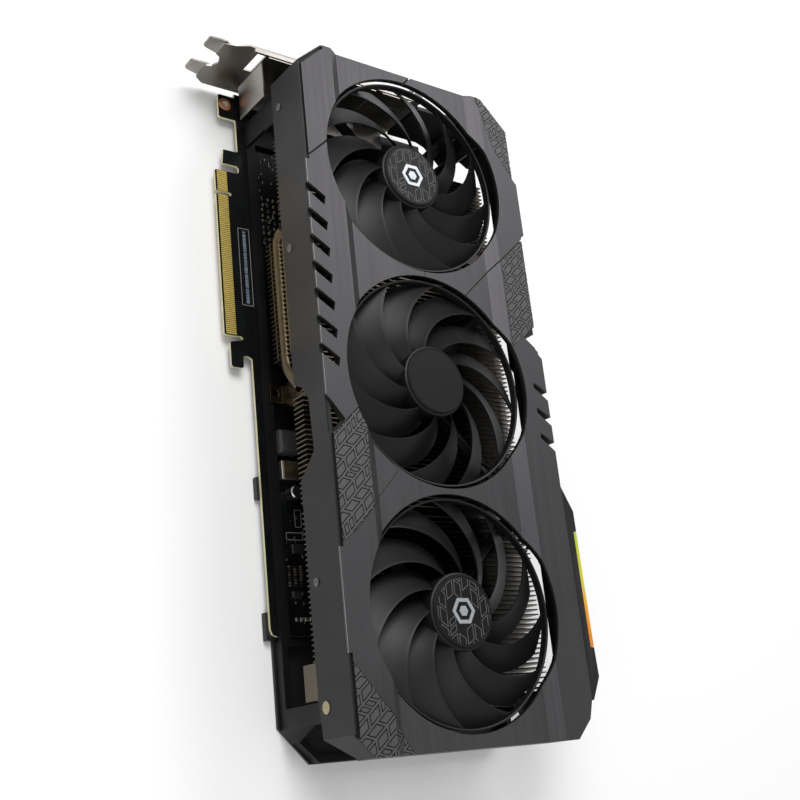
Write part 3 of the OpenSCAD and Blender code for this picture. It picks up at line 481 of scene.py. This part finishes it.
def cover_panels():
    """The three pressings: a polished chamfer beside the connector, dark seams, fine edges elsewhere."""
    for node in ("cover_corner", "cover_upper", "cover_main"):
        bm = clean_copy(node)
        rim = [e for e in sharp_edges(bm, 38.0) if on_polished_rim(e)]
        if rim:
            break_edges(bm, rim, 0.7, material=1)
        seams = [e for e in untouched_edges(bm) if on_seam(e)]
        break_edges(bm, seams, 0.32, material=2)
        break_edges(bm, untouched_edges(bm), 0.2)
        panel = from_bmesh(node, bm)
        materials = ["cover", "polished", "engraved"]
        finish_piece(node + "_panel", panel, node, materials, replaces=True, sharp=10.0)


CELL_WIDTH = 4.4
CELL_LENGTH = 7.6
CELL_RISE = 3.0
RIDGE = 0.95
LINE = 0.42
ENGRAVING = 0.25
SIDE_PLAIN_Y = 34.0


def shrink(outline, d):
    """Moves each side of a convex counter-clockwise outline inwards by d."""
    out = []
    for i, b in enumerate(outline):
        m = (b - outline[i - 1]).normalized()
        n = (outline[(i + 1) % len(outline)] - b).normalized()
        m, n = Vector((-m.y, m.x)), Vector((-n.y, n.x))
        out.append(b + (m + n) * d / (1 + m.dot(n)))
    return out


def frame_of(cell, width):
    """Four bars along the sides of a cell."""
    inner = shrink(cell, width)
    return [[cell[i], cell[(i + 1) % 4], inner[(i + 1) % 4], inner[i]] for i in range(4)]


def halves_of(cell, gap):
    """Two shorter cells, one after the other along a cell's long sides."""
    a, b, c, d = cell
    half = (d - a) / 2
    g = (d - a).normalized() * gap / 2
    return [[a, b, b + half - g, a + half - g], [a + half + g, b + half + g, c, d]]


def bar_across(cell, width):
    """A bar that splits a cell half-way along its long sides."""
    a, b, c, d = cell
    half = (d - a) / 2
    w = (d - a).normalized() * width / 2
    return [a + half - w, b + half - w, b + half + w, a + half + w]


def chevron_cells(low, high, turn):
    """Slanted cells in mirrored columns over a rectangle, in millimetres, each with a kind of 0 to 4."""
    spin = Matrix.Rotation(turn, 2)
    centre = (low + high) / 2
    reach = (high - low).length / 2 + CELL_LENGTH
    columns = int(reach / CELL_WIDTH) + 1
    rows = int(reach / CELL_LENGTH) + 1
    for c in range(-columns, columns):
        rise = -CELL_RISE if c % 2 else CELL_RISE
        start = CELL_RISE * (c % 2) + CELL_LENGTH / 2 * ((c // 2) % 2)
        for r in range(-rows, rows):
            u, v = c * CELL_WIDTH, r * CELL_LENGTH + start
            w = u + CELL_WIDTH
            corners = ((u, v), (w, v + rise), (w, v + rise + CELL_LENGTH), (u, v + CELL_LENGTH))
            cell = [Vector(p) for p in corners]
            yield [centre + spin @ p for p in cell], (2 * c + 3 * r) % 5


def tread_plates(low, high, turn):
    """Convex plates of the engraved tread: ridges between the cells and a raised field in each."""
    for cell, kind in chevron_cells(low, high, turn):
        yield from frame_of(cell, RIDGE / 2)
        field = shrink(cell, RIDGE / 2 + LINE)
        if kind == 0:
            yield from halves_of(field, 2 * LINE + RIDGE)
            yield bar_across(shrink(cell, RIDGE / 2), RIDGE)
        else:
            yield field


def height_over(face):
    """The height of a face's plane over a point (x, y)."""
    n = face.normal.copy()
    d = n.dot(face.verts[0].co)
    return lambda x, y: (d - n.x * x - n.y * y) / n.z


def insert_pieces(node, turn):
    """A textured insert: raised fields and ridges over an engraved floor."""
    floor_mesh = clean_copy(node)
    bmesh.ops.translate(floor_mesh, verts=floor_mesh.verts, vec=(0, 0, -ENGRAVING * MM))
    engraved = from_bmesh(node + "_floor", floor_mesh)
    finish_piece(node + "_floor", engraved, node, ["engraved"], replaces=True)
    whole = clean_copy(node)
    whole.normal_update()
    low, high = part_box(node)
    plates = list(tread_plates(low.xy / MM, high.xy / MM, turn))
    treads = bmesh.new()
    for face in whole.faces:
        if face.normal.z < 0.3:
            continue
        outline = [v.co.xy / MM for v in face.verts]
        if node == "insert_side" and in_board(face.calc_center_median()).y > SIDE_PLAIN_Y:
            plate(treads, outline, height_over(face), ENGRAVING, material=1)
            continue
        for window in plates:
            plate(treads, clip(outline, window), height_over(face), ENGRAVING)
    whole.free()
    raised = from_bmesh(node + "_treads", treads)
    finish_piece(node + "_treads", raised, node, ["insert", "cover"], sharp=10.0)


def shroud():
    """The shroud, with a glossy rim round each fan."""
    centres = [fan_centre(name).xy for name in FAN_NAMES]

    def paint(face):
        middle = face.calc_center_median()
        near = min((middle.xy - c).length for c in centres) / MM
        return 1 if abs(face.normal.z) < 0.4 and near < OPENING_R else 0

    refined("shroud_frame", "shroud_body", ["shroud", "duct"], width=0.22, paint=paint, sharp=12.0)


# ---- fans -------------------------------------------------------------------

FAN_NAMES = ("front", "middle", "rear")
BLADES = 11
SWEEP = 53.0
PHASE = {"front": 4.0, "middle": 5.0, "rear": 7.5}
SPAN_STEPS = 24
CHORD_STEPS = 14
OPENING_R = 51.1
ROTOR_LOW, ROTOR_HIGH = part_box("fan_rotor_front")
RING_R = (ROTOR_HIGH.x - ROTOR_LOW.x) / 2 / MM
HUB_R = 16.8
SHAFT_HOLE_R = 4.0
BLADE_TOP = in_board(ROTOR_HIGH).z - 0.2
BLADE_T = 1.35
RING_Z = (45.0, 49.0)


def blade_surface(t, s):
    """Angle, radius and height of a blade's upper face: t along the span, s from the leading edge."""
    hub, rim = HUB_R - 0.8, RING_R - 0.5
    radius = hub + t * (rim - hub)
    angle = SWEEP * t - (31 - 6 * t) * s
    height = BLADE_TOP - 0.6 * t**2 - 10 * (1 - 0.25 * t) * s**0.9
    return angle, radius, height


def fan_centre(name):
    low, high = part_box("fan_shaft_" + name)
    middle = (low + high) / 2
    return Vector((middle.x, middle.y, ORIGIN.z))


def blade(bm, centre, turn, hand):
    """One blade: a thin swept section with a rounded leading edge, lofted from the hub to the ring."""
    loops = []
    for i in range(SPAN_STEPS + 1):
        t = i / SPAN_STEPS
        upper, lower = [], []
        for j in range(CHORD_STEPS + 1):
            s = 0.5 - 0.5 * math.cos(math.pi * j / CHORD_STEPS)
            angle, radius, height = blade_surface(t, s)
            thick = BLADE_T * (0.22 + 0.78 * min(1.0, s / 0.12) ** 0.5 * (1 - 0.7 * s))
            sink = 0.05 + 0.25 * (1 - min(1.0, s / 0.06)) ** 2
            a = math.radians((angle + turn) * hand)
            spot = Vector((radius * math.cos(a), radius * math.sin(a), height - sink))
            upper.append(centre + spot * MM)
            lower.append(centre + (spot - Vector((0, 0, thick))) * MM)
        loops.append([bm.verts.new(p) for p in upper + list(reversed(lower))])
    count = len(loops[0])
    for a, b in zip(loops, loops[1:]):
        for j in range(count):
            k = (j + 1) % count
            bm.faces.new((a[j], a[k], b[k], b[j]))
    bm.faces.new(loops[0])
    bm.faces.new(list(reversed(loops[-1])))


def rotor(name, hand):
    centre = fan_centre(name)
    bm = bmesh.new()
    top = in_board(ROTOR_HIGH).z
    cup = [(HUB_R - 1.6, 38.2), (HUB_R - 0.2, 38.0), (HUB_R, 38.3), (HUB_R, top - 1.2)]
    crown = [(HUB_R - 0.25, top - 0.35), (HUB_R - 0.8, top), (SHAFT_HOLE_R, top),
             (SHAFT_HOLE_R, top - 2.4), (HUB_R - 1.6, top - 2.4)]
    lathe(bm, centre, cup + crown, 96)
    low, high = RING_Z
    under = [(RING_R - 1.0, low + 0.2), (RING_R - 0.7, low), (RING_R - 0.2, low), (RING_R, low + 0.25)]
    over = [(RING_R, high - 0.25), (RING_R - 0.2, high), (RING_R - 0.7, high), (RING_R - 1.0, high - 0.2)]
    lathe(bm, centre, under + over, 144)
    for k in range(BLADES):
        blade(bm, centre, PHASE[name] + 360 * k / BLADES, hand)
    node = "fan_rotor_" + name
    finish_piece(node + "_body", from_bmesh(node, bm), node, ["rotor"], replaces=True, sharp=40.0)


CAP_R = 15.75
CAP_FIELD = 14.1
CAP_TURN = math.radians(90)
EMBLEM = (6.2, 4.4, 2.4)


def polygon(centre, radius, sides, turn=0.0):
    steps = [turn + 2 * math.pi * i / sides for i in range(sides)]
    return [centre + Vector((radius * math.cos(a), radius * math.sin(a))) for a in steps]


def cap_pattern(node, centre, top):
    """Raised lines in a slanted tread pattern, and a plain six-sided emblem in the middle."""
    field = polygon(centre, CAP_FIELD, 48)
    lines = bmesh.new()
    for cell, kind in chevron_cells(centre - Vector((14, 14)), centre + Vector((14, 14)), CAP_TURN):
        inner = shrink(cell, 0.4)
        middle = sum(cell, Vector((0, 0))) / 4
        if (middle - centre).length < EMBLEM[0] + 1.6:
            continue
        for part in halves_of(inner, 0.8) if kind == 0 else [inner]:
            for bar in frame_of(part, 0.34):
                plate(lines, clip(bar, field), lambda x, y: top - 0.02 * MM, 0.2)
    finish_piece(node + "_lines", from_bmesh(node + "_lines", lines), node, ["cap_lines"])
    emblem = bmesh.new()
    outer, inner = (polygon(centre, r, 6, math.pi / 6) for r in EMBLEM[:2])
    for i in range(6):
        k = (i + 1) % 6
        plate(emblem, [outer[i], outer[k], inner[k], inner[i]], lambda x, y: top, 0.25)
    plate(emblem, polygon(centre, EMBLEM[2], 6, math.pi / 6), lambda x, y: top, 0.25)
    finish_piece(node + "_emblem", from_bmesh(node + "_emblem", emblem), node, ["emblem"])


def cap(name, patterned):
    """A hub cap: a dished plate with a rim; the outer fans' caps carry a pattern."""
    node = "hub_cap_" + name
    low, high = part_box(node)
    centre = fan_centre(name)
    bottom, top = in_board(low).z, in_board(high).z
    dish = bmesh.new()
    disc(dish, centre, CAP_R, bottom, top - 0.14, 96, edge=0.45)
    rim = [(14.7, top - 0.3), (15.2, top - 0.3), (15.15, top - 0.08), (14.95, top), (14.75, top - 0.08)]
    lathe(dish, centre, rim, 96)
    finish_piece(node + "_plate", from_bmesh(node, dish), node, ["cap"], replaces=True)
    if patterned:
        cap_pattern(node, centre.xy / MM, high.z)


def fans():
    for name in FAN_NAMES:
        rotor(name, -1 if name == "middle" else 1)
        cap(name, name != "middle")
        refined("fan_base_" + name, f"fan_base_{name}_body", ["fan_base"], width=0.3)


# ---- everything that keeps its CAD shape ------------------------------------

BEVELS = {
    "heat_pipes": 0, "cooler_tabs": 0.1, "io_bracket": 0.12, "mid_frame": 0.25, "backplate": 0.25,
    "power_inductors": 0.25, "power_socket": 0.2, "hdmi_socket": 0.1, "displayport_sockets": 0.1,
    "retention_bracket": 0.12, "light_bar_housing": 0.3,
    "light_diffuser": 0.2, "power_stages": 0.1, "memory_chips": 0.1, "bios_switch_body": 0.12,
    "bios_switch_slider": 0.12, "fan_header": 0.12, "cold_plate": 0.2,
}


SILK_FRAMES = (((74.8, 10.2), (114.4, 16.2)), ((210.6, 29.6), (218.6, 33.0)), ((221.0, 24.6), (224.4, 33.2)))
CORNER_HOLE = (8.5, 7.6)


def board():
    """The board: black mask on both faces, a sawn edge of bare laminate, a copper ring and a label."""
    refined("circuit_board", "board_body", ["pcb", "laminate"], width=0,
            paint=lambda face: 1 if abs(face.normal.z) < 0.5 else 0)
    prints = bmesh.new()
    lathe(prints, at(*CORNER_HOLE), [(1.65, 0.0), (3.3, 0.0), (3.2, 0.05), (1.65, 0.05)], 40, material=0)
    for low, high in SILK_FRAMES:
        silk_frame(prints, low, high)
    block(prints, (76.0, 12.6, 0.0), (113.4, 14.2, 0.04), material=2)
    mesh = from_bmesh("board_prints", prints)
    finish_piece("board_prints", mesh, "circuit_board", ["ring_copper", "silk", "label"])


def silk_frame(bm, low, high):
    """A thin printed rectangle on the board's face."""
    (x0, y0), (x1, y1) = low, high
    w = 0.22
    across = (((x0, y0), (x1, y0 + w)), ((x0, y1 - w), (x1, y1)))
    along = (((x0, y0), (x0 + w, y1)), ((x1 - w, y0), (x1, y1)))
    for a, b in across + along:
        block(bm, (*a, 0.0), (*b, 0.03), material=1)


def chip_part(bm, x, y, length, width, height, body):
    """A surface-mounted part: a body between two tinned ends."""
    end = length * 0.22
    low = (x - length / 2 + end, y - width / 2, 0.02)
    high = (x + length / 2 - end, y + width / 2, height)
    block(bm, low, high, 0.05, body)
    for side in (-1, 1):
        x0, x1 = sorted((x + side * length / 2, x + side * (length / 2 - end)))
        block(bm, (x0, y - width / 2, 0.0), (x1, y + width / 2, height - 0.02), 0.06, 2)


CHIP_STRIP_Y = (23.4, 37.0)
LOOSE_CHIPS = ((46, (31, 87)), (26, (206, 262)))


def small_parts():
    """Surface-mounted parts: chips in ceramic or black with tinned ends, a shield and two packages."""
    chance = random.Random(11)
    bm = bmesh.new()
    for i in range(9):
        for j in range(4):
            place = (56.7 + 3 * i + chance.uniform(-0.3, 0.3), 24.45 + 3.1 * j + chance.uniform(-0.4, 0.4))
            chip_part(bm, *place, 1.4, 0.9, 0.6, chance.choice((0, 1)))
    for i in range(8):
        for j in range(3):
            chip_part(bm, 236.3 + 1.2 * i, 24.6 + 3 * j, 0.6, 1.2, 0.5, chance.choice((0, 1)))
    for count, stretch in LOOSE_CHIPS:
        for i in range(count):
            place = (chance.uniform(*stretch), chance.uniform(*CHIP_STRIP_Y))
            chip_part(bm, *place, 1.0, 0.5, 0.4, chance.choice((0, 1)))
    for i in range(4):
        block(bm, (258.6, 26 + 2.4 * i, 0.0), (260.4, 27.2 + 2.4 * i, 0.8), 0.12, 2)
    block(bm, (188.6, 23.4, 0.0), (197.4, 32.6, 2.7), 0.3, 2)
    block(bm, (189.3, 24.1, 2.6), (196.7, 31.9, 3.0), 0.25, 3)
    for low, high in (((246.9, 25.6), (251.1, 30.2)), ((226.0, 27.0), (231.0, 33.0))):
        block(bm, (low[0] + 0.4, low[1] + 0.4, 0.1), (high[0] - 0.4, high[1] - 0.4, 0.95), 0.12, 1)
        count = int((high[0] - low[0] - 0.8) / 0.7)
        for k in range(count):
            x = low[0] + 0.55 + 0.7 * k
            for y0, y1 in ((low[1], low[1] + 0.5), (high[1] - 0.5, high[1])):
                block(bm, (x, y0, 0.0), (x + 0.36, y1, 0.4), 0.04, 2)
    mesh = from_bmesh("small_parts", bm)
    materials = ["ceramic", "chip", "tin", "smd"]
    finish_piece("small_parts_body", mesh, "small_components", materials, replaces=True)


def cans():
    """Capacitor cans: bright sides with a rolled rim, and a dark scored top."""
    bm = clean_copy("capacitors")
    break_edges(bm, sharp_edges(bm, 38.0), 0.45)
    bm.normal_update()
    for face in bm.faces:
        face.material_index = 1 if face.normal.z > 0.95 else 0
    finish_piece("cans_body", from_bmesh("cans_body", bm), "capacitors", ["can", "can_top"], replaces=True)


TAIL_LENGTH = 30


def screws():
    """The wall's screws; the one by the tail is brass."""
    tail = in_board(COVER_HIGH).x - TAIL_LENGTH

    def paint(face):
        return 1 if in_board(face.calc_center_median()).x > tail else 0

    refined("wall_screws", "wall_screws_body", ["screw", "brass"], width=0.08, paint=paint)


FIRST_FIN_X = 86.8
TAB_COUNT = 26
FIN_PITCH = 2.2
FIN_T = 0.5
FIN_EDGE_Y = 17.9


def fin_tabs():
    """Folded tabs that space the fins, in rows along their edge beside the connector."""
    bm = bmesh.new()
    first = FIRST_FIN_X + FIN_PITCH
    for i in range(TAB_COUNT):
        x = first + FIN_PITCH * i
        for z in (14.6, 25.6):
            block(bm, (x + FIN_T, FIN_EDGE_Y, z), (x + FIN_PITCH, FIN_EDGE_Y + 0.7, z + 0.9), 0.12)
    finish_piece("fin_tabs", from_bmesh("fin_tabs", bm), "fin_stack_middle", ["fins"])


def kept_nodes():
    """Gives every other CAD node its material, and breaks the edges of those that need it."""
    for node, width in BEVELS.items():
        refined(node, node + "_body", [SLOT_OF[node]], width=width)
    for node, shape in NODES.items():
        shape.data.materials.clear()
        shape.data.materials.append(MATERIAL[SLOT_OF[node]])


# ---- camera, light and floor ------------------------------------------------

CAMERA_AT = at(329.4, -241.4, 436.6)
LOOK = Vector((-0.3067, 0.5817, -0.7534))
IMAGE_DOWN = Vector((0.9464, 0.1022, -0.3064))
LENS = 52.73
SENSOR = 36.0


def camera():
    data = bpy.data.cameras.new("camera")
    data.lens = LENS
    data.sensor_width = SENSOR
    data.clip_start = 0.01
    data.clip_end = 20.0
    made = bpy.data.objects.new("camera", data)
    bpy.context.scene.collection.objects.link(made)
    back = -LOOK.normalized()
    right = (-IMAGE_DOWN).cross(back).normalized()
    up = back.cross(right)
    made.matrix_world = Matrix.Translation(CAMERA_AT) @ Matrix((right, up, back)).transposed().to_4x4()
    bpy.context.scene.camera = made


def area(name, place, target, size, power, colour=(1, 1, 1)):
    light = bpy.data.lights.new(name, "AREA")
    light.energy = power
    light.size = size
    light.color = colour
    made = bpy.data.objects.new(name, light)
    bpy.context.scene.collection.objects.link(made)
    made.location = place
    made.rotation_mode = "QUATERNION"
    made.rotation_quaternion = (Vector(place) - Vector(target)).to_track_quat("Z", "Y")


def lights():
    world = bpy.data.worlds.new("studio")
    world.use_nodes = True
    background = world.node_tree.nodes["Background"]
    background.inputs["Color"].default_value = (1, 1, 1, 1)
    background.inputs["Strength"].default_value = 0.50
    bpy.context.scene.world = world
    middle = (CAD_BOX[0] + CAD_BOX[1]) / 2
    area("key", (-0.9, -0.45, 1.3), middle, 0.9, 16)
    area("fill", (0.9, -0.9, 0.9), middle, 1.2, 4)
    area("sheen", (-0.75, 0.62, 0.95), middle, 0.5, 4)


def floor():
    bm = bmesh.new()
    reach = 6.0
    z = CAD_BOX[0].z - 0.0001
    corners = ((-reach, -reach), (reach, -reach), (reach, reach), (-reach, reach))
    bm.faces.new([bm.verts.new((x, y, z)) for x, y in corners])
    mesh = from_bmesh("floor", bm)
    s = Shader("floor_paper", Roughness=0.9)
    s.colour(s.ramp(s.noise(3.0), (0.3, (0.955, 0.955, 0.955)), (0.7, (0.97, 0.97, 0.97))))
    mesh.materials.append(s.material)
    made = bpy.data.objects.new("floor", mesh)
    bpy.context.scene.collection.objects.link(made)


# ---- the card ---------------------------------------------------------------

kept_nodes()
board()
small_parts()
cans()
screws()
fin_tabs()
shroud()
cover_panels()
INSERT_TURN = {"insert_corner": 40, "insert_upper": 45, "insert_side": 45, "insert_tail": 40}
for insert_node, degrees in INSERT_TURN.items():
    insert_pieces(insert_node, math.radians(degrees))
fans()
floor()
lights()
camera()
bpy.context.scene.view_settings.view_transform = "Standard"
